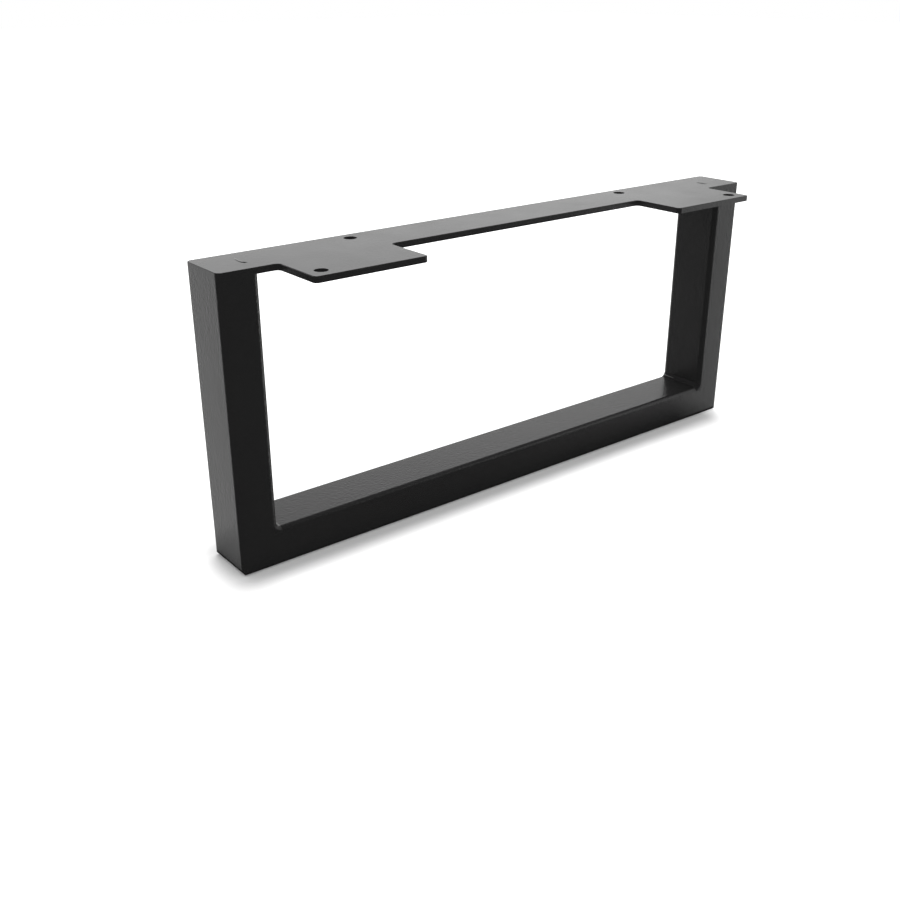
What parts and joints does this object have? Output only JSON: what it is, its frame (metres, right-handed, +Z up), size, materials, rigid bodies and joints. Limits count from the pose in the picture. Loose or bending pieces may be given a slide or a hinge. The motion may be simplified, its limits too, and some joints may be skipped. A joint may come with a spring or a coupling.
{
  "type": "furniture leg",
  "caption": "Low U-shaped sled leg welded from rectangular steel tube, with a flat mounting plate whose square screw pads reach forward, powder-coated black.",
  "frame": {"origin": "middle of the floor rail's underside", "axes": "+X along the leg, -Y towards the screw pads, +Z up to the furniture"},
  "size_m": [0.35, 0.06, 0.148],
  "materials": {
    "black_powder_coat": "fine-textured satin black powder coat"
  },
  "bodies": {
    "root": {"mounting_plate": "black_powder_coat", "left_upright": "black_powder_coat", "right_upright": "black_powder_coat", "floor_rail": "black_powder_coat", "left_corner_weld": "black_powder_coat", "right_corner_weld": "black_powder_coat", "left_plate_weld": "black_powder_coat", "right_plate_weld": "black_powder_coat"}
  },
  "joints": []
}
